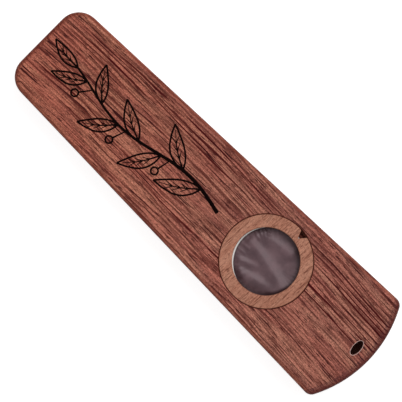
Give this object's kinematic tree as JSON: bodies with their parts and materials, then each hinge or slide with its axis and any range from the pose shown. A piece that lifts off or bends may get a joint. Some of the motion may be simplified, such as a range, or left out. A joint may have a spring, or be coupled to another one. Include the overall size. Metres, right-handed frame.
{
  "type": "kazoo",
  "caption": "Flat tapered wooden kazoo with a slot airway, a notched ring over a buzzing film in a round seat, and an oval cord port near the far end.",
  "frame": {"origin": "on the back face, at the middle of the length and the width", "axes": "+X from the mouth end to the far end, +Y to the player's left, +Z out of the front"},
  "size_m": [0.13, 0.0372, 0.0125],
  "materials": {
    "body_wood": "satin oiled, open grained",
    "ring_wood": "plain sanded",
    "hoop_plastic": "satin",
    "film": "thin wrinkled film"
  },
  "bodies": {
    "body": {"front_board": "body_wood", "left_rail": "body_wood", "right_rail": "body_wood", "back_board": "body_wood"},
    "film_insert": {"membrane_hoop": "hoop_plastic", "membrane_film": "film"},
    "ring": {"retaining_ring": "ring_wood"}
  },
  "joints": [
    {"name": "insert_lift", "type": "slide", "parent": "body", "child": "film_insert", "axis": [0, 0, 1], "range_m": [0, 0.01]},
    {"name": "ring_lift", "type": "slide", "parent": "film_insert", "child": "ring", "axis": [0, 0, 1], "range_m": [0, 0.01]}
  ]
}
